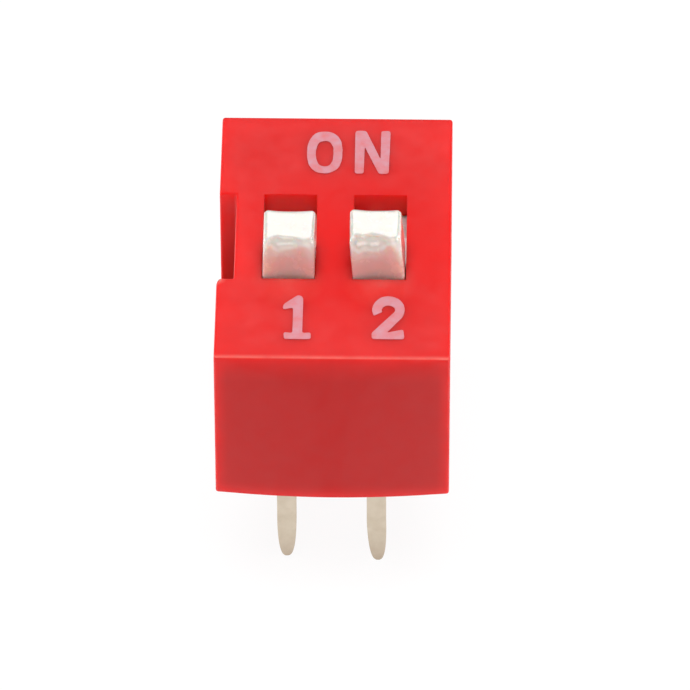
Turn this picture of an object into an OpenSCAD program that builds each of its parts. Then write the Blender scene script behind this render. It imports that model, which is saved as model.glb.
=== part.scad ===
// Two-position slide DIP switch for through-hole boards.
// Millimetres. The origin is the middle of the footprint on the board's surface,
// +X runs from position 1 to position 2, +Y points to the ON side and +Z is up.

/* [Footprint] */
// Spacing of the two positions
pitch = 2.54; // [2.45:0.01:2.65]
// Spacing of the two rows of legs
row_spacing = 7.62; // [7.5:0.01:7.8]
// Gap that the standoffs leave between the board and the cover's rim
standoff = 0.3; // [0.15:0.05:0.5]

/* [Cover] */
// Space between a leg and the cover's wall
leg_margin = 0.215; // [0.1:0.005:0.4]
// Height of the top face above the board
cover_top = 5.55; // [5.4:0.05:6.1]
// Thickness of the top plate
plate_thickness = 0.8; // [0.6:0.05:0.9]
// Thickness of the walls at the two ends of the row of positions
side_wall = 1.02; // [0.8:0.02:1.2]
// Thickness of the walls along the two rows of legs
row_wall = 0.8; // [0.65:0.05:0.85]
// Radius of the soft outer edges
cover_edge = 0.09; // [0.05:0.01:0.2]
// How far the walls along the legs bow out at the rim
wall_bow = 0.2; // [0.05:0.01:0.3]
// Width of the slot of a position
slot_width = 1.5; // [1.42:0.01:1.62]
// Length of the slot of a position
slot_length = 3.45; // [3.3:0.05:3.7]

/* [Orientation notch] */
// Length of the notch that marks the end at position 1
notch_length = 3.45; // [3:0.05:4.5]
// Depth of the notch into the wall
notch_depth = 0.48; // [0.2:0.02:0.6]
// Radius of the notch's soft front shoulder
shoulder_radius = 0.26; // [0.1:0.01:0.35]

/* [Base] */
// Height of the base's top face above the cover's rim
base_height = 1.9; // [1.7:0.05:2.1]
// How far the base's underside lies above the cover's rim
base_recess = 0.1; // [0:0.02:0.2]
// Gap between the base and the cover's walls
base_gap = 0.02; // [0.01:0.01:0.05]
// Radius of the snap ridges along the base
snap_radius = 0.12; // [0.08:0.01:0.16]
// Length of the snap ridges
snap_length = 3; // [2:0.1:4]
// Depth of the wells round the roots of the legs
well_depth = 0.5; // [0.3:0.05:0.7]
// Resin on the inner side of a leg
resin_margin = 0.385; // [0.15:0.005:0.6]
// How far the sealing resin stays below the mouth of a well
seal_recess = 0.06; // [0.02:0.02:0.2]
// Width of the standoff bars
bar_width = 0.7; // [0.5:0.05:1]
// Depth of the groove that takes the cover's rib
groove_depth = 0.25; // [0.1:0.05:0.4]

/* [Terminals] */
// Thickness of the terminal strip
strip_thickness = 0.25; // [0.15:0.01:0.3]
// Width of a leg
leg_width = 0.55; // [0.4:0.01:0.65]
// Reach of the legs below the board's surface
leg_reach = 3.42; // [2.5:0.02:4]
// Length of the rounded taper at a leg's tip
leg_taper = 0.96; // [0.3:0.02:1.2]
// Width of a contact pad
pad_width = 1.2; // [0.9:0.05:1.35]
// Radius inside the bend between leg and pad
bend_radius = 0.15; // [0.1:0.01:0.3]
// Distance of the front pad's end past the middle of the switch
front_pad_end = 0.35; // [0.32:0.01:0.45]
// Bare base between the front pad and the rear pad
pad_spacing = 0.65; // [0.4:0.05:0.7]

/* [Slides] */
// Length of a knob along its slot
knob_length = 1.45; // [1.3:0.05:1.6]
// Height of a knob above the cover
knob_height = 1.3; // [0.8:0.05:1.6]
// Radius of a knob's soft edges
knob_edge = 0.15; // [0.05:0.01:0.2]
// Depth of the finger trough across a knob's top
trough_depth = 0.09; // [0.03:0.01:0.15]
// Width of the plate under the slot
flange_width = 1.92; // [1.85:0.01:2]
// Thickness of the plate under the slot
flange_thickness = 0.6; // [0.4:0.05:0.7]
// How far the plate reaches past the slot's ends at both positions
flange_lap = 0.1; // [0.05:0.01:0.14]
// Running gap all round a slide
slide_gap = 0.03; // [0.02:0.01:0.06]
// Width and length of the post that carries the contact
post_side = 1.1; // [0.9:0.05:1.2]
// Diameter of the stake through the contact
stake_diameter = 0.4; // [0.3:0.02:0.5]
// How far the stake's formed head reaches round the stake
head_rim = 0.12; // [0.06:0.01:0.15]
// Thickness of the stake's formed head
head_thickness = 0.15; // [0.1:0.01:0.2]

/* [Contacts] */
// Thickness of the contact leaf
leaf_thickness = 0.1; // [0.06:0.01:0.12]
// Width of the contact leaf
leaf_width = 1; // [0.8:0.05:1.2]
// Height of the leaf's middle above its tips
leaf_rise = 0.85; // [0.7:0.05:1]
// Distance from the leaf's middle to a tip
leaf_reach = 1.2; // [1.15:0.01:1.25]
// Half length of the leaf's flat middle
leaf_flat = 0.55; // [0.45:0.01:0.65]
// Radius inside a rounded tip
tip_radius = 0.16; // [0.1:0.01:0.2]
// Width of the split between the two fingers of a tip
finger_split = 0.18; // [0.1:0.02:0.3]
// Gap between a tip and the pads
contact_gap = 0.03; // [0.02:0.01:0.05]

/* [Print] */
// Height of the letters and digits
print_height = 1.78; // [1.4:0.01:2]
// Width of a letter
letter_width = 1; // [0.85:0.01:1.1]
// Space between the two letters
letter_space = 0.36; // [0.2:0.01:0.5]
// Width of a digit
digit_width = 0.95; // [0.85:0.01:1.05]
// Width of the strokes
stroke = 0.27; // [0.2:0.01:0.32]
// Distance of the word from the ON edge of the cover
word_margin = 0.57; // [0.3:0.01:0.7]
// Distance of the digits from the other edge of the cover
digit_margin = 0.77; // [0.4:0.01:0.8]
// How far the word sits off the middle, towards position 2
word_shift = 0.34; // [0:0.01:0.4]
// How far a digit sits off the middle of its slot, towards position 2
digit_shift = 0.28; // [0:0.01:0.35]
// Thickness of the ink
ink_thickness = 0.02; // [0.01:0.01:0.05]

/* [Hidden] */

$fn = 64;
BOW_FACETS = 720;       // facets of the large circle behind the bowed walls
TAPER_STEPS = 10;       // straight steps along each side of a leg's tip
OVERRUN = 1;            // how far a cutter runs past what it cuts
FRONT = -1;
REAR = 1;

// inside the cover
channel_half = flange_width / 2 + slide_gap;
cavity_length = pitch + 2 * channel_half;
cavity_width = row_spacing + strip_thickness + 2 * leg_margin;
cover_length = cavity_length + 2 * side_wall;
cover_width = cavity_width + 2 * row_wall;
rib_width = pitch - 2 * channel_half;
ceiling = cover_top - plate_thickness;

// base and what is moulded into it
base_length = cavity_length - 2 * base_gap;
base_width = cavity_width - 2 * base_gap;
base_bottom = standoff + base_recess;
base_top = standoff + base_height;
rib_bottom = base_top - groove_depth + base_gap;
snap_z = (base_bottom + well_depth + base_top) / 2;
leg_y = row_spacing / 2;
well_width = leg_margin + strip_thickness + resin_margin;
rear_pad_end = front_pad_end + pad_spacing;

// slides: they rest at the OFF end of their slots
travel = slot_length - knob_length - 2 * slide_gap;
slide_y = -travel / 2;
knob_width = slot_width - 2 * slide_gap;
knob_top = cover_top + knob_height;
flange_top = ceiling - slide_gap;
flange_bottom = flange_top - flange_thickness;
flange_length = slot_length + travel + 2 * flange_lap;
tip_z = base_top + contact_gap;
strap_top = tip_z + leaf_rise;
strap_bottom = strap_top - leaf_thickness;

// print
word_width = 2 * letter_width + letter_space;
word_y = cover_width / 2 - word_margin - print_height / 2;
digit_y = -cover_width / 2 + digit_margin + print_height / 2;

function position_x(n) = (n - 1.5) * pitch;

// radius of the circle that rises by sagitta over a chord
function arc_radius(chord, sagitta) = (chord * chord / 4 + sagitta * sagitta) / (2 * sagitta);

// unit vector square to a line from a to b
function side_of(a, b) = [a.y - b.y, b.x - a.x] / norm(b - a);

// a path moved sideways by d, with mitred corners
function beside(path, d) = [
    for (i = [0:len(path) - 1])
        let (before = i > 0 ? side_of(path[i - 1], path[i]) : side_of(path[0], path[1]),
             after = i < len(path) - 1 ? side_of(path[i], path[i + 1]) : before)
        path[i] + d * (before + after) / (1 + before * after)
];

function reversed(list) = [for (i = [len(list) - 1:-1:0]) list[i]];

// centred rectangle with four round corners
module soft_rectangle(length, width, radius) {
    square([length - 2 * radius, width], center = true);
    square([length, width - 2 * radius], center = true);
    for (x = [-1, 1], y = [-1, 1])
        translate([x * (length / 2 - radius), y * (width / 2 - radius)]) circle(radius);
}

// rectangle that stands on the X axis, with its upper corners round
module soft_arch(length, height, radius) {
    translate([-length / 2, 0]) square([length, height - radius]);
    translate([radius - length / 2, 0]) square([length - 2 * radius, height]);
    for (x = [-1, 1])
        translate([x * (length / 2 - radius), height - radius]) circle(radius);
}

// block that stands on z = 0, with soft upright and upper edges
module soft_block(length, width, height, radius) {
    intersection() {
        linear_extrude(height) soft_rectangle(length, width, radius);
        rotate([90, 0, 0]) linear_extrude(width, center = true)
            soft_arch(length, height, radius);
        rotate([90, 0, 90]) linear_extrude(length, center = true)
            soft_arch(width, height, radius);
    }
}

// block centred on x and y between two heights
module plain_block(length, width, bottom, top) {
    translate([-length / 2, -width / 2, bottom]) cube([length, width, top - bottom]);
}

// rod along X
module rod_x(radius, length) {
    rotate([0, 90, 0]) cylinder(r = radius, h = length, center = true);
}

// strip bent along a path in the YZ plane
module bent_strip(path, thickness, width) {
    rotate([90, 0, 90]) linear_extrude(width, center = true)
        polygon(concat(beside(path, thickness / 2), reversed(beside(path, -thickness / 2))));
}

// ---- cover ----

// swelling of a wall along the legs, widest at the rim and gone below the top's soft edge
module bowed_wall() {
    chord = cover_length - 2 * cover_edge;
    radius = arc_radius(chord, wall_bow);
    height = cover_top - 2 * cover_edge - standoff;
    intersection() {
        translate([0, -cover_width / 2 - wall_bow, standoff])
            rotate([-atan(wall_bow / height), 0, 0])
            translate([0, radius, -OVERRUN])
                cylinder(r = radius, h = height + 3 * OVERRUN, $fn = BOW_FACETS);
        translate([0, -cover_width / 2, 0])
            plain_block(chord, row_wall, standoff, cover_top - cover_edge);
    }
}

module notch_outline() {
    shoulder_y = -notch_length / 2;
    translate([-OVERRUN, shoulder_y]) square([OVERRUN + notch_depth, notch_length]);
    difference() {
        translate([-OVERRUN, shoulder_y - shoulder_radius])
            square([OVERRUN + shoulder_radius, shoulder_radius]);
        translate([shoulder_radius, shoulder_y - shoulder_radius]) circle(shoulder_radius);
    }
}

module cover() {
    color([0.9, 0.16, 0.15])
    difference() {
        union() {
            translate([0, 0, standoff])
                soft_block(cover_length, cover_width, cover_top - standoff, cover_edge);
            for (turn = [0, 180]) rotate([0, 0, turn]) bowed_wall();
        }
        difference() {
            plain_block(cavity_length, cavity_width, standoff - OVERRUN, base_top);
            plain_block(rib_width, cover_width, rib_bottom, base_top + OVERRUN);
        }
        for (n = [1, 2]) translate([position_x(n), 0, 0]) {
            plain_block(2 * channel_half, cavity_width, standoff, ceiling);
            plain_block(slot_width, slot_length, standoff, cover_top + OVERRUN);
        }
        for (side = [FRONT, REAR])
            translate([0, side * base_width / 2, snap_z])
                rod_x(snap_radius + base_gap, snap_length + 2 * base_gap);
        translate([-cover_length / 2, 0, standoff - OVERRUN])
            linear_extrude(cover_top - standoff + 2 * OVERRUN) notch_outline();
    }
}

// ---- base ----

module standoff_bars() {
    plain_block(bar_width, cavity_width - 2 * well_width, 0, base_bottom);
    for (end = [-1, 1])
        translate([end * (base_length - bar_width) / 2, 0, 0])
            plain_block(bar_width, bar_width, 0, base_bottom);
}

module base() {
    color([0.82, 0.13, 0.13])
    difference() {
        union() {
            plain_block(base_length, base_width, base_bottom, base_top);
            for (side = [FRONT, REAR])
                translate([0, side * base_width / 2, snap_z]) rod_x(snap_radius, snap_length);
            standoff_bars();
        }
        for (side = [FRONT, REAR]) well(side, OVERRUN);
        plain_block(rib_width + 2 * base_gap, base_width + OVERRUN,
                    base_top - groove_depth, base_top + OVERRUN);
        for (n = [1, 2], side = [FRONT, REAR]) terminal(n, side);
    }
}

// the space of a well, from its floor down to a distance below its mouth
module well(side, below) {
    translate([0, side * (cavity_width - well_width) / 2, 0])
        plain_block(cavity_length, well_width, base_bottom - below, base_bottom + well_depth);
}

module seal(side) {
    color([0.12, 0.11, 0.1])
    difference() {
        well(side, -seal_recess);
        for (n = [1, 2]) terminal(n, side);
    }
}

// ---- terminals ----

// corner piece of strip stock: filled left of and below its soft outer corner
module soft_corner(right, top, radius, left, bottom) {
    translate([left, bottom]) square([right - left, top - radius - bottom]);
    translate([left, bottom]) square([right - radius - left, top - bottom]);
    translate([right - radius, top - radius]) circle(radius);
}

// front of a terminal: a leg with a half-ellipse for its tip, below a wide shoulder
module terminal_front(shoulder_z) {
    tip = [for (i = [0:TAPER_STEPS])
        let (turn = 90 * i / TAPER_STEPS)
        [leg_width / 2 * sin(turn), leg_taper - leg_reach - leg_taper * cos(turn)]];
    right = concat(tip, [[leg_width / 2, shoulder_z], [pad_width / 2, shoulder_z],
                         [pad_width / 2, base_top + OVERRUN]]);
    polygon(concat(right, [for (p = reversed(right)) if (p.x > 0) [-p.x, p.y]]));
}

// strip that stands up through the base and bends over to a pad on top of it
module terminal(n, side) {
    leg_outside = leg_y + strip_thickness / 2;
    leg_inside = leg_y - strip_thickness / 2;
    pad_end = side == FRONT ? -front_pad_end : rear_pad_end;
    color([0.8, 0.76, 0.68])
    translate([position_x(n), 0, 0]) mirror([0, side == FRONT ? 1 : 0, 0]) intersection() {
        rotate([90, 0, 90]) linear_extrude(pad_width, center = true) difference() {
            soft_corner(leg_outside, base_top, bend_radius + strip_thickness, pad_end, -leg_reach);
            soft_corner(leg_inside, base_top - strip_thickness, bend_radius,
                        pad_end - OVERRUN, -leg_reach - OVERRUN);
        }
        translate([0, leg_outside + OVERRUN, 0]) rotate([90, 0, 0])
            linear_extrude(leg_outside - pad_end + 2 * OVERRUN)
                terminal_front(base_top - strip_thickness - bend_radius);
    }
}

// ---- slides and contacts ----

module slide(n) {
    color("white")
    translate([position_x(n), slide_y, 0]) {
        difference() {
            translate([0, 0, flange_bottom])
                soft_block(knob_width, knob_length, knob_top - flange_bottom, knob_edge);
            trough_radius = arc_radius(knob_width - 2 * knob_edge, trough_depth);
            translate([0, 0, knob_top - trough_depth + trough_radius]) rotate([90, 0, 0])
                cylinder(r = trough_radius, h = knob_length + OVERRUN, center = true);
        }
        plain_block(flange_width, flange_length, flange_bottom, flange_top);
        plain_block(post_side, post_side, strap_top, flange_bottom);
        translate([0, 0, strap_bottom - head_thickness]) {
            cylinder(d = stake_diameter, h = strap_top - strap_bottom + head_thickness);
            cylinder(d = stake_diameter + 2 * head_rim, h = head_thickness);
        }
    }
}

// half of the leaf's middle line, from its middle to its rounded tip
function leaf_path() =
    let (radius = tip_radius + leaf_thickness / 2,
         low = leaf_thickness / 2)
    concat([[0, leaf_rise - leaf_thickness / 2], [leaf_flat, leaf_rise - leaf_thickness / 2]],
           [for (turn = [-50:20:70]) [leaf_reach + radius * sin(turn), low + radius * (1 - cos(turn))]]);

module contact(n) {
    color([0.85, 0.68, 0.3])
    translate([position_x(n), slide_y, tip_z])
    difference() {
        half = leaf_path();
        other = [for (p = reversed(half)) if (p.x > 0) [-p.x, p.y]];
        bent_strip(concat(other, half), leaf_thickness, leaf_width);
        cylinder(d = stake_diameter, h = leaf_rise + OVERRUN);
        for (turn = [0, 180]) rotate([0, 0, turn])
            translate([-finger_split / 2, leaf_flat, -OVERRUN])
                cube([finger_split, leaf_reach + OVERRUN, leaf_rise + 2 * OVERRUN]);
    }
}

// ---- print ----

module ink(x, y) {
    color([0.91, 0.65, 0.68])
    translate([x, y, cover_top]) linear_extrude(ink_thickness) children();
}

// upright loop with round ends
module loop(width, height) {
    square([width, height - width], center = true);
    for (end = [-1, 1]) translate([0, end * (height - width) / 2]) circle(width / 2);
}

module letter_o() {
    difference() {
        loop(letter_width, print_height);
        loop(letter_width - 2 * stroke, print_height - 2 * stroke);
    }
}

module letter_n() {
    x = letter_width / 2;
    y = print_height / 2;
    for (side = [-1, 1])
        translate([side * (x - stroke / 2), 0]) square([stroke, print_height], center = true);
    polygon([[x - stroke, -y], [x, -y], [stroke - x, y], [-x, y]]);
}

module legend_on() {
    ink(word_shift, word_y) {
        translate([(letter_width - word_width) / 2, 0]) letter_o();
        translate([(word_width - letter_width) / 2, 0]) letter_n();
    }
}

module legend_1() {
    foot_width = digit_width - 3 / 4 * stroke;
    flag_drop = 1.5 * stroke;
    flag_reach = digit_width / 2 - stroke / 4;
    y = print_height / 2;
    ink(position_x(1) + digit_shift, digit_y) {
        square([stroke, print_height], center = true);
        translate([-foot_width / 2, -y]) square([foot_width, stroke]);
        polygon([[0, y], [-flag_reach, y - flag_drop],
                 [-flag_reach, y - flag_drop - stroke / 2], [stroke / 2, y - stroke]]);
    }
}

module legend_2() {
    bowl = digit_width / 2;
    y = print_height / 2;
    ink(position_x(2) + digit_shift, digit_y) {
        intersection() {
            translate([0, y - bowl]) difference() {
                circle(bowl);
                circle(bowl - stroke);
            }
            union() {
                translate([-bowl, y - bowl]) square([2 * bowl, bowl]);
                translate([0, y - 2 * bowl]) square([bowl, bowl]);
            }
        }
        polygon([[0, y - 2 * bowl], [0, y - 2 * bowl + stroke], [-bowl, stroke - y], [-bowl, -y]]);
        translate([-bowl, -y]) square([digit_width, stroke]);
    }
}

cover();
base();
terminal(1, FRONT);  // terminal_1_front
terminal(1, REAR);  // terminal_1_rear
terminal(2, FRONT);  // terminal_2_front
terminal(2, REAR);  // terminal_2_rear
seal(FRONT);  // seal_front
seal(REAR);  // seal_rear
slide(1);  // slide_1
slide(2);  // slide_2
contact(1);  // contact_1
contact(2);  // contact_2
legend_on();
legend_1();
legend_2();
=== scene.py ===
import math

import bmesh
import bpy
import numpy as np
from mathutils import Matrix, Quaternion, Vector, noise


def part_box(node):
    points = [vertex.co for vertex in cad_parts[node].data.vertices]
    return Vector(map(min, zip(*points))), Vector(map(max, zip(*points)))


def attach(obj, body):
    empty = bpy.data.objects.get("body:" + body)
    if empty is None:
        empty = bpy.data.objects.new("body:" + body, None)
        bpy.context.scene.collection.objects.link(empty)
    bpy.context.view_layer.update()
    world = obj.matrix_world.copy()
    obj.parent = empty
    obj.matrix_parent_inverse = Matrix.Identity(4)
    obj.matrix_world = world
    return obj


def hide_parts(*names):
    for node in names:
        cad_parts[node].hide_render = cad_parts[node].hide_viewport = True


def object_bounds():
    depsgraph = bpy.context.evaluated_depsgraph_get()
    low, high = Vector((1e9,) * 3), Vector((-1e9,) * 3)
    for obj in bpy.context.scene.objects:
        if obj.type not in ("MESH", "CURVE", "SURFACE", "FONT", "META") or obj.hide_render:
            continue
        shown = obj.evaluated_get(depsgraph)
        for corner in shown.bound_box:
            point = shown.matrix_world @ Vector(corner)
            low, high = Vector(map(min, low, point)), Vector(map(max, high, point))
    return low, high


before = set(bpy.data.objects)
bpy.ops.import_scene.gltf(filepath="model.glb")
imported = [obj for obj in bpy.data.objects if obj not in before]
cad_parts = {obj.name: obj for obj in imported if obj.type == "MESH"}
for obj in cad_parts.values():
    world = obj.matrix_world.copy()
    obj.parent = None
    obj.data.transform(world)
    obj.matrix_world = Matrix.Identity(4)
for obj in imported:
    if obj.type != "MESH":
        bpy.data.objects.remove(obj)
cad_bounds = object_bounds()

MM = 0.001
HAIR = 0.01 * MM             # tells an edge on a face from one beside it
SPECK = 0.001 * MM           # the same for a vertex

# ---- sizes repeated from the part's source ----

SLOT_WIDTH = 1.5 * MM
SLOT_LENGTH = 3.45 * MM
NOTCH_LENGTH = 3.45 * MM
NOTCH_DEPTH = 0.48 * MM
PLATE_THICKNESS = 0.8 * MM   # of the cover above the slides
BASE_GAP = 0.02 * MM
SLIDE_GAP = 0.03 * MM
WALL_BOW = 0.2 * MM          # how far the end walls swell at the middle of the rim
BOW_MARGIN = 0.14 * MM       # the swelling starts this far from the corners
RIB_LAP = 0.23 * MM          # how far the cover's rib reaches below the base's top
SNAP_RADIUS = 0.14 * MM
SNAP_LENGTH = 3.04 * MM
KNOB_WIDTH = 1.44 * MM
KNOB_LENGTH = 1.45 * MM
FLANGE_THICKNESS = 0.6 * MM  # of the slide's plate under the slot
POST_SIDE = 1.1 * MM
STAKE_REACH = 0.25 * MM      # below the post, out of sight and left out here
STRIP_THICKNESS = 0.25 * MM
LEG_WIDTH = 0.55 * MM
LEG_REACH = 3.42 * MM
BEND_RADIUS = 0.15 * MM
STROKE = 0.27 * MM

# ---- places read from the frame ----

COVER_LOW, COVER_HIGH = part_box("cover")
BASE_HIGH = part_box("base")[1]
RIM = COVER_LOW.z
TOP = COVER_HIGH.z
COVER_X = COVER_HIGH.x
COVER_Y = COVER_HIGH.y - WALL_BOW
CAVITY_X = BASE_HIGH.x + BASE_GAP
CAVITY_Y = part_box("seal_rear")[1].y
CEILING = TOP - PLATE_THICKNESS
BASE_TOP = BASE_HIGH.z
WELL_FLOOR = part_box("seal_rear")[1].z
SNAP_Z = (WELL_FLOOR + BASE_TOP) / 2
SLIDE_BOXES = [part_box(f"slide_{n}") for n in (1, 2)]
SLIDE_X = [(low.x + high.x) / 2 for low, high in SLIDE_BOXES]
SLIDE_Y = (SLIDE_BOXES[0][0].y + SLIDE_BOXES[0][1].y) / 2
FLANGE_X = (SLIDE_BOXES[0][1].x - SLIDE_BOXES[0][0].x) / 2
FLANGE_Y = (SLIDE_BOXES[0][1].y - SLIDE_BOXES[0][0].y) / 2
FLANGE_TOP = CEILING - SLIDE_GAP
KNOB_TOP = SLIDE_BOXES[0][1].z
CHANNEL_X = FLANGE_X + SLIDE_GAP

# ---- radii of soft edges ----

SHOULDER_EDGE = 0.26 * MM    # the notch's front shoulder, worn round
CORNER_EDGE = 0.09 * MM
TOP_EDGE = 0.07 * MM
RIM_EDGE = 0.05 * MM
INNER_EDGE = 0.035 * MM
INNER_CORNER = 0.015 * MM
SLOT_EDGE = 0.012 * MM
SLIDE_EDGE = 0.04 * MM
SLIDE_CORNER = 0.02 * MM
STRIP_EDGE = 0.035 * MM
NARROW_SHARE = 0.45          # a strip's edge takes at most this share of its width
RESIN_EDGE = 0.004 * MM

# ---- the knobs' moulding faults ----

REAR_ROUNDING = (0.18 * MM, 0.13 * MM, 0.08 * MM)    # radii of the edges, along X, Y and Z
FRONT_ROUNDING = (0.14 * MM, 0.12 * MM, 0.2 * MM)
ROUNDING_CHANGE = 1.4        # how fast the one becomes the other along the knob
KNOB_HOLLOW = 0.15 * MM      # how far the front face stands back in the middle
HOLLOW_FADE = 0.8            # how much of that is gone at the top
KNOB_SLANT = 0.32 * MM       # how far the front face falls back at its top
SLANT_BOTTOM = 0.2 * MM      # where that starts, above the cover
SLANT_WANDER = 0.3 * MM      # and how unevenly it ends
KNOB_ROLL = 0.5 / MM         # how the top falls off towards its front edge, from the roll's start on
ROLL_START = -0.58 * MM
ROLL_WANDER = 0.8 * MM       # how unevenly the roll starts across each knob
WANDER_SIZE = 0.35 * MM
WANDER_SEEDS = (72.35, 50.25)
KNOB_DISH = 0.055 * MM       # how far the top is dished, between its edges
DISH_MARGIN = 0.05 * MM
KNOB_WAVE = 0.014 * MM
WAVE_SIZE = 0.5 * MM
WAVE_SEEDS = (5.3, 9.3)
WAVE_HEIGHT = 0.6 * MM       # the dish, the roll and the waves fade out this far below the top
KNOB_DRAFT = 0.015 * MM      # how much each side stands out at the foot
# how each knob sits in its slot: its shift along X, its lean from there to its top, and its rise
KNOB_SEATS = ((0.005 * MM, 0.02 * MM, 0), (-0.012 * MM, -0.11 * MM, 0.06 * MM))

# ---- the legs, the resin and the print ----

LEG_TAPER = 1.5 * MM         # length of a leg's tapered tip
TIP_BLUNTNESS = 3.2          # the tip is an ellipse at 2, and blunter above
TIP_STEPS = 14
BEND_STEPS = 6
LEG_SHIFT = -0.042 * MM      # how far the strips sit off their pitch
# how far each leg reaches below the board's surface, and how far its tip leans along X
LEGS = (("terminal_1_front", 3.23 * MM, 0), ("terminal_2_front", 3.37 * MM, 0.045 * MM),
        ("terminal_1_rear", 3.39 * MM, 0.02 * MM), ("terminal_2_rear", 3.36 * MM, -0.02 * MM))

RESIN_HOLLOW = 0.05 * MM     # how far the resin's lower face stands back from the mouth of its well
LEG_CLIMB = 0.07 * MM        # how far it creeps back along the legs and the walls, over what width
LEG_CLIMB_WIDTH = 0.09 * MM
WALL_CLIMB = 0.04 * MM
WALL_CLIMB_WIDTH = 0.1 * MM
RESIN_RIPPLE = 0.012 * MM
RIPPLE_SIZE = 0.5 * MM
RIPPLE_SEED = 3.7

LETTER_WIDTH = 1.0 * MM
DIGIT_WIDTH = 0.95 * MM
PRINT_ROUNDING = 0.09 * MM   # how much of each side a corner's rounding takes
CORNER_ROOM = 2.2            # it takes at most one part in this many of a short side
ROUNDING_STEPS = 4
OVAL_SQUARENESS = 2.4        # the O is an ellipse at 2, and squarer above
OVAL_STEPS = 72
PRINT_WAVER = 0.012 * MM     # how far the print's outlines waver
WAVER_SIZE = 0.16 * MM


# ---- mesh tools ----

SHARP = math.radians(45)     # an edge whose faces turn by more gets a radius


def refined(stops, step):
    """The stops in order, with even cuts between those that are further apart than step."""
    stops = sorted({round(s, 9) for s in stops})
    line = []
    for a, b in zip(stops, stops[1:]):
        cuts = math.ceil((b - a) / step)
        line += [a + (b - a) * i / cuts for i in range(cuts)]
    return line + stops[-1:]


def mirrored(stops):
    """The stops on both sides of zero."""
    return [-s for s in stops] + list(stops)


def cell_mesh(name, xs, ys, zs, inside, soft, segments=4):
    """Closed mesh round the grid cells whose middles are inside the solid.

    soft(middle, axis, convex) gives the radius of the edge with that middle and direction."""
    def middle(line, i):
        return (line[i] + line[i + 1]) / 2

    cells = {(i, j, k)
             for i in range(len(xs) - 1) for j in range(len(ys) - 1) for k in range(len(zs) - 1)
             if inside(middle(xs, i), middle(ys, j), middle(zs, k))}
    mesh = bmesh.new()
    weight = mesh.edges.layers.float.new("bevel_weight_edge")
    corners = {}

    def corner(i, j, k):
        if (i, j, k) not in corners:
            corners[i, j, k] = mesh.verts.new((xs[i], ys[j], zs[k]))
        return corners[i, j, k]

    for cell in sorted(cells):
        for axis in range(3):
            u, v = (axis + 1) % 3, (axis + 2) % 3
            for way in (0, 1):
                beyond = list(cell)
                beyond[axis] += 2 * way - 1
                if tuple(beyond) in cells:
                    continue
                ring = []
                for du, dv in ((0, 0), (1, 0), (1, 1), (0, 1)):
                    at = list(cell)
                    at[axis] += way
                    at[u] += du
                    at[v] += dv
                    ring.append(corner(*at))
                mesh.faces.new(ring if way else ring[::-1])
    mesh.normal_update()
    radii = {}
    for edge in mesh.edges:
        if edge.calc_face_angle(0) > SHARP:
            a, b = (vert.co for vert in edge.verts)
            axis = max(range(3), key=lambda n: abs(b[n] - a[n]))
            radii[edge] = soft((a + b) / 2, axis, edge.is_convex)
    widest = max(radii.values())
    for edge, radius in radii.items():
        edge[weight] = radius / widest
    blank = object_from(name, mesh)
    bevel = blank.modifiers.new("soft edges", "BEVEL")
    bevel.limit_method = "WEIGHT"
    bevel.width = widest
    bevel.segments = segments
    bevel.use_clamp_overlap = False
    return applied(blank)


def object_from(name, mesh):
    """An object in the scene with the given bmesh."""
    data = bpy.data.meshes.new(name)
    mesh.to_mesh(data)
    mesh.free()
    made = bpy.data.objects.new(name, data)
    bpy.context.scene.collection.objects.link(made)
    return made


def applied(made):
    """The object with its modifiers worked into its mesh."""
    graph = bpy.context.evaluated_depsgraph_get()
    data = bpy.data.meshes.new_from_object(made.evaluated_get(graph))
    made.modifiers.clear()
    old = made.data
    made.data = data
    bpy.data.meshes.remove(old)
    data.name = made.name
    return made


def moved(made, shift):
    """The object with every vertex moved by shift(x, y, z), given and returned as arrays."""
    places = np.empty(len(made.data.vertices) * 3)
    made.data.vertices.foreach_get("co", places)
    places = places.reshape(-1, 3)
    places += np.stack(shift(*places.T), axis=1)
    made.data.vertices.foreach_set("co", places.ravel())
    made.data.update()
    return made


def smooth(made, angle=40):
    """Shades curves as curves and keeps flat faces flat."""
    made.data.shade_smooth()
    made.data.set_sharp_from_angle(angle=math.radians(angle))
    weighted = made.modifiers.new("flat faces", "WEIGHTED_NORMAL")
    weighted.keep_sharp = True
    return made


def noise_at(x, y, z, size, seed):
    """Smooth noise from -1 to 1 with features of the given size, for arrays of places."""
    return np.array([noise.noise(Vector(place) / size + Vector((seed, seed, seed)))
                     for place in zip(x, y, z)])


def ring_mesh(rings):
    """Closed mesh through rings of as many places each."""
    mesh = bmesh.new()
    rows = [[mesh.verts.new(place) for place in ring] for ring in rings]
    count = len(rows[0])
    for low, high in zip(rows, rows[1:]):
        for i in range(count):
            j = (i + 1) % count
            mesh.faces.new((low[i], low[j], high[j], high[i]))
    mesh.faces.new(rows[0][::-1])
    mesh.faces.new(rows[-1])
    bmesh.ops.recalc_face_normals(mesh, faces=mesh.faces)
    return mesh


def finish_piece(made, body, nodes, material):
    """Gives a piece its material, and tells the frame what it stands for."""
    made.data.materials.clear()
    made.data.materials.append(material)
    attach(made, body)
    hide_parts(*nodes)


# ---- materials ----

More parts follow.
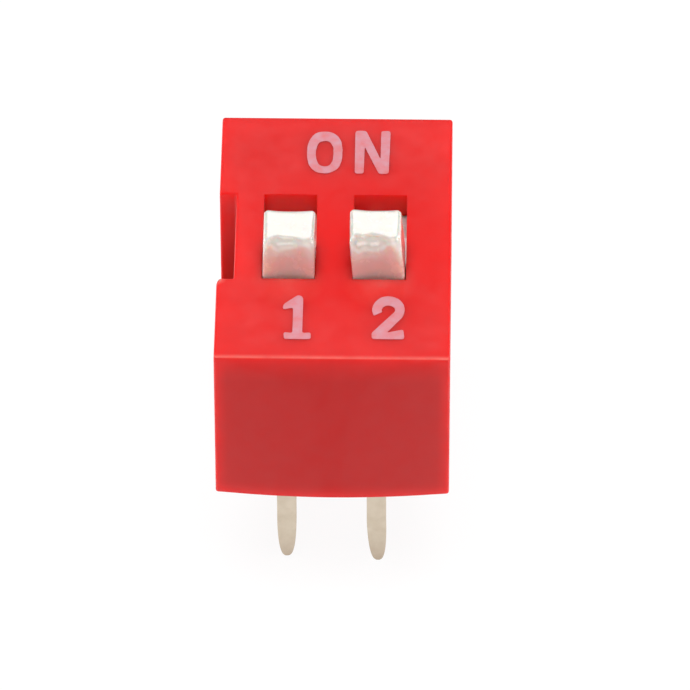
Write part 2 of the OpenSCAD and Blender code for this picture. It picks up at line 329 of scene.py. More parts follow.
COVER_REDS = ((0.88, 0.02, 0.019), (0.8, 0.015, 0.014))
# the base's reds are the cover's reds darkened as painted shade
SHADED_BASE_REDS = ((0.62, 0.016, 0.015), (0.54, 0.013, 0.012))
RED_ROUGHNESS = 0.45
RED_SHINE = 0.52             # specular level of the red plastic
NOTCH_SHINE = 0.1            # the same deep in the notch
DEEP_SHINE = 0.45            # how much of it is left in the middle of the top
PAINTED_GLOW_RED = (1.0, 0.022, 0.021)    # painted glow along the rim, where light would show through it
PAINTED_WALL_SHADE_RED = (0.7, 0.0155, 0.0145)    # painted shade over the middle of the end walls, leaving their edges looking lit
PAINTED_NOTCH_SHADE_RED = (0.5, 0.012, 0.006)   # painted shade deep in the notch
PAINTED_TOP_SHADE_RED = (0.84, 0.007, 0.006)      # painted shade in the middle of the top, where the knobs block its sheen
PAINTED_KNOB_REFLECTION_RED = (1.0, 0.1, 0.088)      # painted reflection of each knob on the red before it
PAINTED_HIGHLIGHT_RED = (1.0, 0.27, 0.23)       # painted highlights on the front edge and the notch's shoulder
HIGHLIGHT_WIDTH = 0.2 * MM
NYLON_WHITES = ((0.79, 0.755, 0.695), (0.83, 0.8, 0.74))
TIN_GREYS = ((0.62, 0.53, 0.41), (0.71, 0.62, 0.5))
DARKER_TIN = (0.53, 0.43, 0.33)
GILT = (0.95, 0.7, 0.32)
CONTACT_GOLDS = ((0.88, 0.62, 0.26), (0.96, 0.72, 0.36))
RESIN_BROWNS = ((0.02, 0.018, 0.016), (0.05, 0.045, 0.04))
INK_PINKS = ((0.87, 0.222, 0.24), (0.8, 0.375, 0.45))
NOISE_ROUGHNESS = 0.55


class Nodes:
    """A node tree, built and wired by short names."""

    def __init__(self, tree):
        self.tree = tree

    def add(self, kind, **settings):
        made = self.tree.nodes.new(kind)
        for key, value in settings.items():
            setattr(made, key, value)
        return made

    def link(self, source, target):
        self.tree.links.new(source, target)

    def maths(self, operation, *values):
        """The result of a math node on linked values."""
        made = self.add("ShaderNodeMath", operation=operation)
        for value, socket in zip(values, made.inputs):
            self.link(value, socket)
        return made.outputs["Value"]

    def ranged(self, factor, low, high, start=0.3, end=0.7):
        """The factor stretched from start and end to low and high."""
        made = self.add("ShaderNodeMapRange")
        for socket, value in (("From Min", start), ("From Max", end), ("To Min", low), ("To Max", high)):
            made.inputs[socket].default_value = value
        self.link(factor, made.inputs["Value"])
        return made.outputs["Result"]

    def blended(self, factor, first, second):
        """The first shader turning into the second by a factor, a number or a socket."""
        made = self.add("ShaderNodeMixShader")
        if isinstance(factor, float):
            made.inputs["Fac"].default_value = factor
        else:
            self.link(factor, made.inputs["Fac"])
        self.link(first, made.inputs[1])
        self.link(second, made.inputs[2])
        return made.outputs["Shader"]


class Material(Nodes):
    """A material with a principled shader."""

    def __init__(self, name, **settings):
        self.data = bpy.data.materials.new(name)
        self.data.use_nodes = True
        super().__init__(self.data.node_tree)
        self.shader = self.tree.nodes["Principled BSDF"]
        for socket, value in settings.items():
            self.shader.inputs[socket.replace("_", " ")].default_value = value
        self.place = self.add("ShaderNodeTexCoord").outputs["Object"]

    def noise(self, size, detail=3, stretch=(1, 1, 1)):
        """Noise with features of the given size, as a factor from 0 to 1."""
        scaled = self.add("ShaderNodeMapping")
        scaled.inputs["Scale"].default_value = [s / size for s in stretch]
        made = self.add("ShaderNodeTexNoise")
        made.inputs["Scale"].default_value = 1
        made.inputs["Detail"].default_value = detail
        made.inputs["Roughness"].default_value = NOISE_ROUGHNESS
        self.link(self.place, scaled.inputs["Vector"])
        self.link(scaled.outputs["Vector"], made.inputs["Vector"])
        return made.outputs["Fac"]

    def axes(self):
        """The place along X, Y and Z, in metres."""
        made = self.add("ShaderNodeSeparateXYZ")
        self.link(self.place, made.inputs["Vector"])
        return made.outputs

    def near(self, point, inner, outer):
        """A factor of 1 within the inner distance of a point, fading to 0 at the outer one."""
        away = self.add("ShaderNodeVectorMath", operation="DISTANCE")
        self.link(self.place, away.inputs[0])
        away.inputs[1].default_value = point
        return self.ranged(away.outputs["Value"], 1, 0, inner, outer)

    def all_of(self, *factors):
        """The product of factors."""
        product = factors[0]
        for factor in factors[1:]:
            product = self.maths("MULTIPLY", product, factor)
        return product

    def mixed(self, factor, first, second):
        """Colour between two, each a tuple or a socket."""
        made = self.add("ShaderNodeMixRGB")
        self.link(factor, made.inputs["Fac"])
        for socket, colour in (("Color1", first), ("Color2", second)):
            if isinstance(colour, tuple):
                made.inputs[socket].default_value = (*colour, 1)
            else:
                self.link(colour, made.inputs[socket])
        return made.outputs["Color"]

    def clouded(self, first, second, size, detail=3):
        """Colour that drifts between two, with features of the given size."""
        return self.mixed(self.ranged(self.noise(size, detail), 0, 1), first, second)

    def tint(self, colour):
        """Makes a colour the surface's own."""
        self.link(colour, self.shader.inputs["Base Color"])

    def roughen(self, low, high, size):
        """Roughness that drifts from low to high, with features of the given size."""
        self.link(self.ranged(self.noise(size), low, high), self.shader.inputs["Roughness"])

    def bump(self, *layers):
        """Bumps the surface by (height factor, depth in metres) layers."""
        normal = None
        for height, depth in layers:
            made = self.add("ShaderNodeBump")
            made.inputs["Strength"].default_value = 1
            made.inputs["Distance"].default_value = depth
            self.link(height, made.inputs["Height"])
            if normal:
                self.link(normal, made.inputs["Normal"])
            normal = made.outputs["Normal"]
        self.link(normal, self.shader.inputs["Normal"])


def red_plastic(name, light, dark):
    """Red moulded plastic and its own colour, before anything that differs from place to place."""
    made = Material(name, Subsurface_Weight=1.0, Subsurface_Scale=0.55 * MM,
                    Subsurface_Radius=(1.0, 0.1, 0.08), IOR=1.46, Specular_IOR_Level=RED_SHINE)
    colour = made.clouded(dark, light, 1.6 * MM, detail=4)
    made.roughen(RED_ROUGHNESS - 0.05, RED_ROUGHNESS + 0.06, 0.5 * MM)
    made.bump((made.noise(1.2 * MM, detail=2), 0.012 * MM),
              (made.noise(0.06 * MM, detail=2), 0.0012 * MM))
    return made, colour


def cover_plastic():
    """The cover's red plastic, with painted glow, shade, reflections and highlights in its colour."""
    made, colour = red_plastic("red cover plastic", *COVER_REDS)
    along_x, along_y, height = made.axes()
    # patchy factor that breaks up the painted reflections and highlights
    painted_light_patches = made.ranged(made.noise(0.7 * MM), 0.6, 1)

    # painted glow: the rim is made lighter, as if lit through from below
    painted_rim_glow = made.ranged(height, 1, 0, RIM, RIM + 0.35 * MM)
    colour = made.mixed(painted_rim_glow, colour, PAINTED_GLOW_RED)

    # painted shade: the middle of each end wall is darker, so its edges and rim look lit
    off_sides = made.ranged(made.maths("ABSOLUTE", along_x), 1, 0, COVER_X - 0.35 * MM, COVER_X - 0.03 * MM)
    on_end = made.ranged(made.maths("ABSOLUTE", along_y), 0, 1, COVER_Y - 0.15 * MM, COVER_Y - 0.1 * MM)
    off_rim = made.ranged(height, 0, 1, RIM, RIM + 0.5 * MM)
    off_top = made.ranged(height, 1, 0, TOP - 0.9 * MM, TOP - 0.1 * MM)
    painted_wall_shade = made.all_of(off_sides, on_end, off_rim, off_top)
    colour = made.mixed(painted_wall_shade, colour, PAINTED_WALL_SHADE_RED)

    # painted shade in the notch, darkest towards its bottom
    notch_floor = NOTCH_DEPTH - COVER_X
    fade = 0.03 * MM
    in_width = made.ranged(along_x, 1, 0, notch_floor, notch_floor + fade)
    in_front = made.ranged(along_y, 0, 1, -NOTCH_LENGTH / 2 - fade, -NOTCH_LENGTH / 2)
    in_rear = made.ranged(along_y, 1, 0, NOTCH_LENGTH / 2, NOTCH_LENGTH / 2 + fade)
    deep_down = made.ranged(height, 1, 0, TOP - 3.6 * MM, TOP)
    in_notch = made.all_of(in_front, in_rear, in_width, deep_down)
    colour = made.mixed(in_notch, colour, PAINTED_NOTCH_SHADE_RED)

    # painted shade in the middle of the top, with less sheen there
    deep_place = (0.8 * MM, -0.4 * MM, TOP)
    in_middle = made.near(deep_place, 0.4 * MM, 4 * MM)
    colour = made.mixed(in_middle, colour, PAINTED_TOP_SHADE_RED)
    shine = made.all_of(made.ranged(in_notch, RED_SHINE, NOTCH_SHINE, 0, 1),
                        made.ranged(in_middle, 1, DEEP_SHINE, 0, 1))
    made.link(shine, made.shader.inputs["Specular IOR Level"])

    # painted reflection of each knob, lightening the red just before its slot
    for x in SLIDE_X:
        slot_front = (x, -SLOT_LENGTH / 2 - 0.1 * MM, TOP)
        painted_reflection = made.near(slot_front, 0, 1.1 * MM)
        colour = made.mixed(made.all_of(painted_reflection, painted_light_patches), colour, PAINTED_KNOB_REFLECTION_RED)

    # painted highlights along the front top edge and on the notch's front shoulder
    near_front = made.ranged(along_y, 0, 1, HIGHLIGHT_WIDTH - COVER_Y, 0.03 * MM - COVER_Y)
    near_top = made.ranged(height, 0, 1, TOP - 0.03 * MM, TOP - 0.005 * MM)
    front_edge = made.all_of(near_front, near_front, near_top)
    colour = made.mixed(made.all_of(front_edge, painted_light_patches), colour, PAINTED_HIGHLIGHT_RED)
    notch_corner = (-COVER_X, -NOTCH_LENGTH / 2, TOP)
    shoulder = made.near(notch_corner, 0.05 * MM, 0.3 * MM)
    colour = made.mixed(made.all_of(shoulder, painted_light_patches), colour, PAINTED_HIGHLIGHT_RED)
    made.tint(colour)
    return made.data


def base_plastic():
    # painted shade: the same red plastic as the cover, only darker
    made, colour = red_plastic("red base plastic", *SHADED_BASE_REDS)
    made.tint(colour)
    return made.data


def white_nylon():
    """Milky nylon with a mirror skin, as a polished mould leaves it."""
    made = Material("white nylon", Subsurface_Weight=1.0, Subsurface_Scale=0.5 * MM,
                    Subsurface_Radius=(1.0, 0.6, 0.45), IOR=1.5, Specular_IOR_Level=1.0,
                    Coat_Weight=1.0, Coat_IOR=1.9, Coat_Roughness=0.08)
    made.tint(made.clouded(*NYLON_WHITES, 0.8 * MM))
    made.roughen(0.22, 0.3, 0.3 * MM)
    made.bump((made.noise(0.55 * MM, detail=1), 0.006 * MM))
    return made.data


def plated_strip():
    """Brass strip, tinned on the legs and darker towards their tips, gilt above the wells' floor."""
    made = Material("tin and gold plate", Metallic=1.0)
    height = made.axes()["Z"]
    tin = made.clouded(*TIN_GREYS, 0.5 * MM, detail=4)
    towards_tips = made.ranged(height, 1, 0, -LEG_REACH, 1 * MM - LEG_REACH)
    tin = made.mixed(towards_tips, tin, DARKER_TIN)
    gilt = made.ranged(height, 0, 1, WELL_FLOOR, WELL_FLOOR + 0.3 * MM)
    made.tint(made.mixed(gilt, tin, GILT))
    made.roughen(0.32, 0.48, 0.2 * MM)
    made.bump((made.noise(0.5 * MM, stretch=(6, 6, 1)), 0.004 * MM))
    return made.data


def gold_plate():
    made = Material("gold plate", Metallic=1.0)
    made.tint(made.clouded(*CONTACT_GOLDS, 0.4 * MM))
    made.roughen(0.2, 0.32, 0.15 * MM)
    made.bump((made.noise(0.3 * MM, stretch=(4, 1, 1)), 0.002 * MM))
    return made.data


def resin():
    made = Material("sealing resin", IOR=1.55)
    made.tint(made.clouded(*RESIN_BROWNS, 0.7 * MM))
    made.roughen(0.22, 0.38, 0.4 * MM)
    made.bump((made.noise(0.5 * MM, detail=2), 0.02 * MM))
    return made.data


def print_ink():
    """Pale ink that the red shows through where it is thin."""
    made = Material("print ink", Subsurface_Weight=0.1, Subsurface_Scale=0.2 * MM)
    made.tint(made.clouded(*INK_PINKS, 0.3 * MM, detail=5))
    made.roughen(0.42, 0.6, 0.1 * MM)
    made.bump((made.noise(0.12 * MM), 0.004 * MM))
    return made.data


# ---- pieces ----

def make_cover():
    """The red shell: slots, end notch, channels for the slides, rib, snap grooves, bowed end walls."""
    def inside(x, y, z):
        if x < NOTCH_DEPTH - COVER_X and abs(y) < NOTCH_LENGTH / 2:
            return False
        if abs(y) > CAVITY_Y:
            snap = abs(x) < SNAP_LENGTH / 2 and abs(z - SNAP_Z) < SNAP_RADIUS
            return not (snap and abs(y) < CAVITY_Y + SNAP_RADIUS)
        off = min(abs(x - middle) for middle in SLIDE_X)
        if off < SLOT_WIDTH / 2 and abs(y) < SLOT_LENGTH / 2:
            return False
        rib = abs(x) < SLIDE_X[1] - CHANNEL_X
        if z < BASE_TOP and abs(x) < CAVITY_X:
            return rib and z > BASE_TOP - RIB_LAP
        return z > CEILING or off > CHANNEL_X

    def soft(at, axis, convex):
        upright = axis == 2
        outer_x = abs(at.x) > COVER_X - HAIR
        outer_y = abs(at.y) > COVER_Y - HAIR
        off_slots = abs(at.x) > CAVITY_X
        if not convex:
            return CORNER_EDGE if upright and off_slots else INNER_CORNER
        if upright and outer_x and abs(at.y) < NOTCH_LENGTH / 2 + HAIR:
            return SHOULDER_EDGE if at.y < 0 else TOP_EDGE
        if upright and outer_x and outer_y:
            return CORNER_EDGE
        if at.z > TOP - HAIR:
            return TOP_EDGE if off_slots or outer_y else SLOT_EDGE
        if at.z < RIM + HAIR and (outer_x or outer_y):
            return RIM_EDGE
        return INNER_EDGE

    def bowed(x, y, z):
        outward = np.clip((abs(y) - CAVITY_Y) / (COVER_Y - CAVITY_Y), 0, 1)
        across = np.clip(1 - (x / (COVER_X - BOW_MARGIN)) ** 2, 0, 1)
        down = np.clip((TOP - z) / (TOP - RIM), 0, 1)
        return 0 * x, np.sign(y) * WALL_BOW * outward * across * down, 0 * z

    slot_sides = [x + side * SLOT_WIDTH / 2 for x in SLIDE_X for side in (-1, 1)]
    channel_sides = [x + side * CHANNEL_X for x in SLIDE_X for side in (-1, 1)]
    xs = refined(mirrored([COVER_X, COVER_X - NOTCH_DEPTH, CAVITY_X, SNAP_LENGTH / 2])
                 + slot_sides + channel_sides, step=0.5 * MM)
    ys = refined(mirrored([NOTCH_LENGTH / 2, SLOT_LENGTH / 2, CAVITY_Y, CAVITY_Y + SNAP_RADIUS,
                           COVER_Y]), step=0.36 * MM)
    zs = refined([RIM, BASE_TOP - RIB_LAP, SNAP_Z - SNAP_RADIUS, SNAP_Z + SNAP_RADIUS, BASE_TOP,
                  CEILING, TOP], step=0.4 * MM)
    cover = cell_mesh("cover_shell", xs, ys, zs, inside, soft)
    return smooth(moved(cover, bowed))


def make_slide(n):
    """A white slide: its knob, the plate under the slot and the post, in one moulding."""
    middle_x = SLIDE_X[n]
    flange_bottom = FLANGE_TOP - FLANGE_THICKNESS
    post_bottom = SLIDE_BOXES[n][0].z + STAKE_REACH
    shift, lean, rise = KNOB_SEATS[n]

    def inside(x, y, z):
        if z > FLANGE_TOP:
            return abs(x) < KNOB_WIDTH / 2 and abs(y) < KNOB_LENGTH / 2
        if z > flange_bottom:
            return True
        return max(abs(x), abs(y)) < POST_SIDE / 2

    def soft(at, axis, convex):
        if at.z > FLANGE_TOP + HAIR and convex:
            return 0
        return SLIDE_EDGE if convex else SLIDE_CORNER

    def rounded_off(x, y, z):
        """The knob's places pulled in to its rounded edges."""
        rear = np.clip(0.5 + y / KNOB_LENGTH * ROUNDING_CHANGE, 0, 1)[:, None]
        rounding = rear * np.array(REAR_ROUNDING) + (1 - rear) * np.array(FRONT_ROUNDING)
        core = np.array((KNOB_WIDTH / 2, KNOB_LENGTH / 2, KNOB_TOP)) - rounding
        place = np.stack((x, y, z), axis=1)
        nearest = np.clip(place, -core, core)
        off = (place - nearest) / rounding
        widest = np.maximum(np.abs(off).max(axis=1), 1e-9)
        length = np.maximum(np.linalg.norm(off, axis=1), widest)
        return nearest + off * (widest / length)[:, None] * rounding

    def mould(x, y, z):
        on_knob = z > FLANGE_TOP - SPECK
        on_knob &= (abs(x) < KNOB_WIDTH / 2 + SPECK) & (abs(y) < KNOB_LENGTH / 2 + SPECK)
        placed = np.where(on_knob[:, None], rounded_off(x, y, z), np.stack((x, y, z), axis=1))
        height = np.clip((z - TOP) / (KNOB_TOP - TOP), 0, 1)
        wander = noise_at(x, 0 * x, 0 * x, WANDER_SIZE, WANDER_SEEDS[n])

        draft = KNOB_DRAFT * np.clip(2 * x / KNOB_WIDTH, -1, 1) * (1 - height)
        placed[:, 0] += np.where(on_knob, shift + lean * height + draft, 0)

        forward = np.clip(-2 * y / KNOB_LENGTH, 0, 1)
        lift = np.clip((z - TOP - SLANT_BOTTOM) / (KNOB_TOP - TOP - SLANT_BOTTOM), 0, 1)
        hollow = KNOB_HOLLOW * (1 - (2 * x / KNOB_WIDTH) ** 2) * (1 - HOLLOW_FADE * lift ** 2)
        slant = (KNOB_SLANT - SLANT_WANDER * wander) * lift ** 3
        back = hollow + slant - KNOB_DRAFT * (1 - height)
        placed[:, 1] += np.where(on_knob, forward * back, 0)

        near_top = np.clip((z - KNOB_TOP + WAVE_HEIGHT) / WAVE_HEIGHT, 0, 1)
        dish = KNOB_DISH * np.clip(1 - (x / (KNOB_WIDTH / 2 - DISH_MARGIN)) ** 2, 0, 1)
        roll = KNOB_ROLL * np.maximum(ROLL_START - ROLL_WANDER * wander - y, 0) ** 2
        wave = KNOB_WAVE * (1 + noise_at(x, y, z, WAVE_SIZE, WAVE_SEEDS[n]))
        placed[:, 2] += (rise - dish - roll - wave) * near_top
        return placed[:, 0] - x + middle_x, placed[:, 1] - y + SLIDE_Y, placed[:, 2] - z

    step = 0.06 * MM
    xs = refined(mirrored([KNOB_WIDTH / 2, POST_SIDE / 2, FLANGE_X]), step)
    ys = refined(mirrored([KNOB_LENGTH / 2, POST_SIDE / 2, FLANGE_Y]), step)
    zs = refined([post_bottom, flange_bottom, FLANGE_TOP, KNOB_TOP], step)
    slide = cell_mesh(f"slide_{n + 1}_moulding", xs, ys, zs, inside, soft, segments=3)
    return smooth(moved(slide, mould), angle=60)


def make_terminal(node, name, reach, lean):
    """A stamped strip: its pad inside, a bend, and a leg with a rounded tip."""
    low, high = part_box(node)
    side = 1 if high.y + low.y > 0 else -1
    middle_x = (low.x + high.x) / 2 + LEG_SHIFT
    leg_y = max(abs(low.y), abs(high.y)) - STRIP_THICKNESS / 2
    pad_end = side * (low.y if side > 0 else high.y)
    pad_width = high.x - low.x
    pad_z = high.z - STRIP_THICKNESS / 2
    bend = BEND_RADIUS + STRIP_THICKNESS / 2
    bend_z = pad_z - bend
    tip = -reach

    stations = []
    for i in range(1, TIP_STEPS + 1):
        turn = math.radians(90 * i / TIP_STEPS)
        width = LEG_WIDTH * math.sin(turn) ** (2 / TIP_BLUNTNESS)
        stations.append((leg_y, tip + LEG_TAPER * (1 - math.cos(turn)), 0, width))
    for z in np.linspace(tip + LEG_TAPER, bend_z, TIP_STEPS)[1:]:
        stations.append((leg_y, z, 0, LEG_WIDTH))
    stations.append((leg_y, bend_z, 0, pad_width))
    for i in range(1, BEND_STEPS + 1):
        turn = math.radians(90 * i / BEND_STEPS)
        stations.append((leg_y - bend * (1 - math.cos(turn)), bend_z + bend * math.sin(turn),
                         turn, pad_width))
    stations.append((pad_end, pad_z, math.pi / 2, pad_width))

    rings = []
    for y, z, turn, width in stations:
        edge = min(STRIP_EDGE, NARROW_SHARE * width)
        leaning = lean * max(0, 1 - (z - tip) / LEG_TAPER)
        ring = []
        for corner_x, corner_n, start in ((1, 1, 0), (-1, 1, 90), (-1, -1, 180), (1, -1, 270)):
            for step in (0, 30, 60, 90):
                angle = math.radians(start + step)
                across = corner_x * (width / 2 - edge) + edge * math.cos(angle)
                normal = corner_n * (STRIP_THICKNESS / 2 - edge) + edge * math.sin(angle)
                ring.append((middle_x + across + leaning, side * (y + normal * math.cos(turn)),
                             z + normal * math.sin(turn)))
        rings.append(ring)
    return smooth(object_from(name, ring_mesh(rings)), angle=50)


def make_seal(node, name, side):
    """Poured resin in a well, round the roots of two legs."""
    low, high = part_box(node)
    legs = [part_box(f"terminal_{n}_{side}") for n in (1, 2)]
    sign = 1 if low.y + high.y > 0 else -1
    leg_y = sign * (max(abs(legs[0][0].y), abs(legs[0][1].y)) - STRIP_THICKNESS / 2)
    leg_xs = [(a.x + b.x) / 2 for a, b in legs]

    def inside(x, y, z):
        in_leg_x = any(abs(x - at) < LEG_WIDTH / 2 for at in leg_xs)
        return not (in_leg_x and abs(y - leg_y) < STRIP_THICKNESS / 2)

    def meniscus(x, y, z):
        off_leg_y = np.maximum(abs(y - leg_y) - STRIP_THICKNESS / 2, 0)
        to_leg = np.minimum(*[np.hypot(np.maximum(abs(x - at) - LEG_WIDTH / 2, 0), off_leg_y)
                              for at in leg_xs])
        to_wall = np.minimum(np.minimum(x - low.x, high.x - x), np.minimum(y - low.y, high.y - y))
        climb = LEG_CLIMB * np.exp(-to_leg / LEG_CLIMB_WIDTH)
        climb += WALL_CLIMB * np.exp(-to_wall / WALL_CLIMB_WIDTH)
        ripple = RESIN_RIPPLE * noise_at(x, y, z, RIPPLE_SIZE, RIPPLE_SEED)
        lower = z < (low.z + high.z) / 2
        return 0 * x, 0 * y, np.where(lower, RESIN_HOLLOW - climb + ripple, 0)

    leg_sides = [at + s * LEG_WIDTH / 2 for at in leg_xs for s in (-1, 1)]
    leg_faces = [leg_y + s * STRIP_THICKNESS / 2 for s in (-1, 1)]
    xs = refined([low.x, high.x] + leg_sides, step=0.08 * MM)
    ys = refined([low.y, high.y] + leg_faces, step=0.06 * MM)
    zs = [low.z, high.z]
    seal = cell_mesh(name, xs, ys, zs, inside, lambda at, axis, convex: RESIN_EDGE, segments=1)
    return smooth(moved(seal, meniscus), angle=60)


# ---- print ----

def rounded(points):
    """A closed outline with its corners rounded."""
    made = []
    count = len(points)
    for i in range(count):
        before, at, after = (np.array(points[(i + d) % count]) for d in (-1, 0, 1))
        into, out = at - before, after - at
        cut = min(PRINT_ROUNDING, np.linalg.norm(into) / CORNER_ROOM, np.linalg.norm(out) / CORNER_ROOM)
        start = at - into / np.linalg.norm(into) * cut
        end = at + out / np.linalg.norm(out) * cut
        for t in np.linspace(0, 1, ROUNDING_STEPS + 1):
            made.append((1 - t) ** 2 * start + 2 * t * (1 - t) * at + t ** 2 * end)
    return made


def wavering(outline, middle):
    """The outline round its middle, wavering as pad print does."""
    made = []
    for x, y in outline:
        place = Vector((x + middle[0], y + middle[1], 0))
        grain = place / WAVER_SIZE
        made.append(place + PRINT_WAVER * Vector((noise.noise(grain),
                                                  noise.noise(grain + Vector((9, 9, 9))), 0)))
    return made


def printed(name, outlines, middle, low_z, high_z):
    """A thin plate of ink: one solid outline, or a ring of an outer and an inner one."""
    mesh = bmesh.new()
    rows = []
    for outline in outlines:
        outline = wavering(outline, middle)
        rows.append([[mesh.verts.new((p.x, p.y, z)) for p in outline] for z in (low_z, high_z)])

    def strip(first, second):
        for i in range(len(first)):
            j = (i + 1) % len(first)
            mesh.faces.new((first[i], first[j], second[j], second[i]))

    for low, high in rows:
        strip(low, high)
    if len(rows) == 1:
        mesh.faces.new(rows[0][0][::-1])
        mesh.faces.new(rows[0][1])
    else:
        for level in (0, 1):
            strip(rows[0][level], rows[1][level])
    bmesh.ops.recalc_face_normals(mesh, faces=mesh.faces)
    return object_from(name, mesh)


def oval(width, height):
    """Closed upright loop between an ellipse and a rectangle."""
    made = []
    for i in range(OVAL_STEPS):
        a = 2 * math.pi * i / OVAL_STEPS
        c, s = math.cos(a), math.sin(a)
        made.append((width / 2 * math.copysign(abs(c) ** (2 / OVAL_SQUARENESS), c),
                     height / 2 * math.copysign(abs(s) ** (2 / OVAL_SQUARENESS), s)))
    return made


def letter_o(width, height):
    """The ring and its hole, both a little low in their line."""
    ring = [(x, y - 0.02 * MM) for x, y in oval(width, height - 0.05 * MM)]
    hole = [(x, y - 0.07 * MM) for x, y in oval(width - 1.85 * STROKE, height - 2.6 * STROKE)]
    return [ring, hole]


def letter_n(width, height):
    x, y = width / 2, height / 2
    slant = STROKE * 1.15
    return [rounded([(-x, -y), (STROKE * 0.92 - x, -y), (STROKE - x, y - 2.4 * STROKE), (x - slant, -y),
                     (x - 0.15 * STROKE, -y), (x, y), (x - STROKE, y), (x - STROKE, 2.2 * STROKE - y),
                     (slant - x, y), (-x, y)])]


def digit_1(width, height):
    y = height / 2
    foot = width / 2 - STROKE * 3 / 8
    flag = width / 2 - STROKE / 5
    outline = [(-foot, -y), (foot, -y), (foot, STROKE - y), (STROKE / 2, 0.85 * STROKE - y),
               (STROKE / 2, y - 0.4 * STROKE), (0, y), (-flag, y - 1.5 * STROKE),
               (-flag, y - 2.2 * STROKE), (-STROKE / 2, y - 1.9 * STROKE),
               (-STROKE / 2, 0.85 * STROKE - y), (-foot, STROKE - y)]
    return [rounded([(at + STROKE / 8, up) for at, up in outline])]


def digit_2(width, height):
    x, y = width / 2 - 0.02 * MM, height / 2 - 0.03 * MM
    rise = 0.31 * height
    bowl_y = y - rise

    def arc(half_width, half_height, turns):
        return [(half_width * math.cos(math.radians(a)), bowl_y + half_height * math.sin(math.radians(a)))
                for a in turns]

    foot = [(x, -y), (x - STROKE / 8, 1.45 * STROKE - y), (STROKE * 1.5 - x, 0.9 * STROKE - y)]
    outer = arc(x, rise, range(-35, 206, 15))
    inner = arc(x - STROKE, rise - 1.33 * STROKE, range(205, -46, -15))
    heel = [(-x, STROKE * 0.9 - y), (-x, -y)]
    return [rounded(foot + outer + inner + heel)]


def make_legends(material):
    """The word, its O at the left end and its N at the right end of its box, and the two digits."""
    low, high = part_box("legend_on")
    height = high.y - low.y
    middle_y = (low.y + high.y) / 2
    made = []
    for name, shape, middle_x in (("print_letter_o", letter_o, low.x + LETTER_WIDTH / 2),
                                  ("print_letter_n", letter_n, high.x - LETTER_WIDTH / 2)):
        letter = printed(name, shape(LETTER_WIDTH, height), (middle_x, middle_y), low.z, high.z)
        made.append((letter, "legend_on"))
    for n, shape in ((1, digit_1), (2, digit_2)):
        low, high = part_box(f"legend_{n}")
        middle = ((low.x + high.x) / 2, (low.y + high.y) / 2)
        digit = printed(f"print_digit_{n}", shape(DIGIT_WIDTH, high.y - low.y), middle, low.z, high.z)
        made.append((digit, f"legend_{n}"))
    for piece, node in made:
        finish_piece(piece, "housing", [node], material)


# ---- the dressed part ----

cover_red = cover_plastic()
base_red = base_plastic()
nylon = white_nylon()
plated = plated_strip()
gold = gold_plate()
sealing = resin()
ink = print_ink()

finish_piece(make_cover(), "housing", ["cover"], cover_red)
for n in (0, 1):
    finish_piece(make_slide(n), f"actuator_{n + 1}", [f"slide_{n + 1}"], nylon)
for node, reach, lean in LEGS:
    finish_piece(make_terminal(node, f"{node}_strip", reach, lean), "housing", [node],
                 plated)
for side in ("front", "rear"):
    finish_piece(make_seal(f"seal_{side}", f"seal_{side}_resin", side), "housing", [f"seal_{side}"],
                 sealing)
make_legends(ink)

for node, material in (("base", base_red), ("contact_1", gold), ("contact_2", gold)):
    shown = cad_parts[node]
    shown.data.materials.clear()
    shown.data.materials.append(material)


# ---- floor, light and camera ----

FLOOR_Z = cad_bounds[0].z
FLOOR_HALF = 0.6
FLOOR_PAINT = (0.8, 0.8, 0.8)
FLOOR_GLOW = 1.07            # strength of the white that the camera and gloss see in the floor
FLOOR_WHITENESS = 0.86       # its share there, beside the paint that takes the shadow
WORLD_LIGHT = 0.12           # strength of the room's own light on the object
LAMP_AIM = Vector((0, 0, 0))


def make_floor():
    """A pale one-sided floor that shows near white to the camera and keeps a faint shadow."""
    mesh = bmesh.new()
    bmesh.ops.create_grid(mesh, x_segments=2, y_segments=2, size=FLOOR_HALF)
    bmesh.ops.translate(mesh, verts=mesh.verts, vec=(0, 0, FLOOR_Z))
    floor = object_from("floor", mesh)
    material = bpy.data.materials.new("pale floor")
    material.use_nodes = True
    material.node_tree.nodes.clear()
    nodes = Nodes(material.node_tree)
    ray = nodes.add("ShaderNodeLightPath").outputs
    seen = nodes.maths("MAXIMUM", ray["Is Camera Ray"], ray["Is Glossy Ray"])
    paint = nodes.add("ShaderNodeBsdfDiffuse")
    paint.inputs["Color"].default_value = (*FLOOR_PAINT, 1)
    glow = nodes.add("ShaderNodeEmission")
    glow.inputs["Strength"].default_value = FLOOR_GLOW
    pale = nodes.blended(FLOOR_WHITENESS, paint.outputs["BSDF"], glow.outputs["Emission"])
    by_ray = nodes.blended(seen, paint.outputs["BSDF"], pale)
    behind = nodes.add("ShaderNodeNewGeometry").outputs["Backfacing"]
    clear = nodes.add("ShaderNodeBsdfTransparent").outputs["BSDF"]
    output = nodes.add("ShaderNodeOutputMaterial")
    nodes.link(nodes.blended(behind, by_ray, clear), output.inputs["Surface"])
    floor.data.materials.append(material)


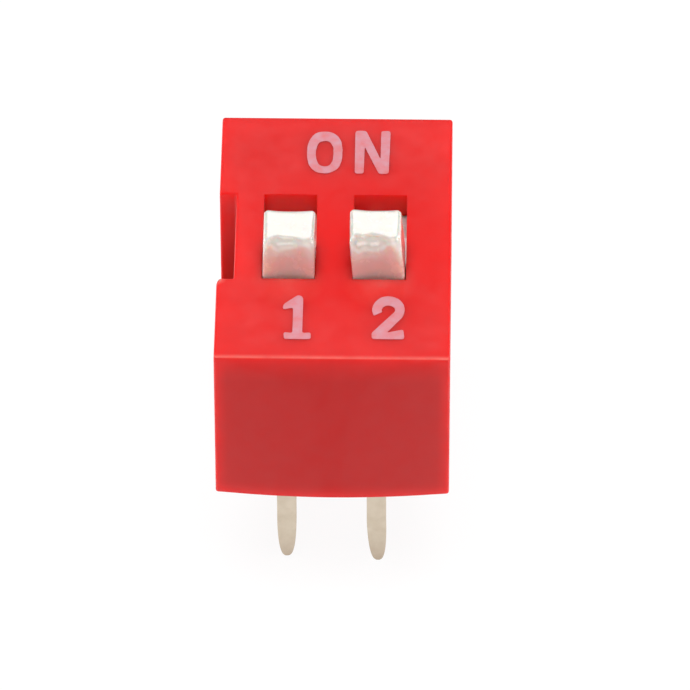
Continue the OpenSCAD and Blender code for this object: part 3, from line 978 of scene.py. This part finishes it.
def make_world():
    """A room that is white to the camera and lights the object evenly and faintly."""
    world = bpy.data.worlds.new("white room")
    bpy.context.scene.world = world
    world.use_nodes = True
    nodes = Nodes(world.node_tree)
    background = world.node_tree.nodes["Background"]
    background.inputs["Color"].default_value = (1, 1, 1, 1)
    ray = nodes.add("ShaderNodeLightPath").outputs
    seen = nodes.maths("MAXIMUM", ray["Is Camera Ray"], ray["Is Transmission Ray"])
    nodes.link(nodes.ranged(seen, WORLD_LIGHT, 1, 0, 1), background.inputs["Strength"])


def make_lamp(name, place, size, power, in_gloss=True):
    """A soft lamp aimed at the object, seen or not seen in its gloss."""
    data = bpy.data.lights.new(name, "AREA")
    data.shape = "RECTANGLE"
    data.size, data.size_y = size
    data.energy = power
    lamp = bpy.data.objects.new(name, data)
    lamp.location = place
    lamp.rotation_euler = (LAMP_AIM - Vector(place)).to_track_quat("-Z", "Y").to_euler()
    lamp.visible_camera = False
    lamp.visible_glossy = in_gloss
    bpy.context.scene.collection.objects.link(lamp)


def make_camera(aim, azimuth, elevation, roll, distance, lens):
    """The scene's camera: distances in metres, angles in degrees, its lens in millimetres."""
    a, e = math.radians(azimuth), math.radians(elevation)
    back = Vector((math.sin(a) * math.cos(e), -math.cos(a) * math.cos(e), math.sin(e)))
    turned = (-back).to_track_quat("-Z", "Y")
    turned.rotate(Quaternion(back, math.radians(roll)))
    data = bpy.data.cameras.new("camera")
    data.sensor_width = 36
    data.lens = lens
    data.clip_start = 0.01
    camera = bpy.data.objects.new("camera", data)
    camera.rotation_mode = "QUATERNION"
    camera.location = Vector(aim) + back * distance
    camera.rotation_quaternion = turned
    bpy.context.scene.collection.objects.link(camera)
    bpy.context.scene.camera = camera


make_floor()
make_world()
# the photo's gloss shows a lamp behind the object, and none overhead
make_lamp("softbox", place=(0, -0.0444, 0.337), size=(0.26, 0.24), power=0.9, in_gloss=False)
make_lamp("rear strip", place=(0, 0.252, 0.243), size=(0.17, 0.098), power=0.115)
make_lamp("front fill", place=(0, -0.3, 0.12), size=(0.3, 0.15), power=0.2)
make_lamp("left panel", place=(-0.26, 0.06, 0.02), size=(0.2, 0.1), power=0.48)
make_lamp("right panel", place=(0.26, 0.06, 0.02), size=(0.2, 0.1), power=0.48)
make_camera(aim=(0.000296, -0.000856, 0.00215), azimuth=1.06, elevation=43.91, roll=-0.18,
            distance=0.2559, lens=471.8)

bpy.context.scene.view_settings.view_transform = "Standard"
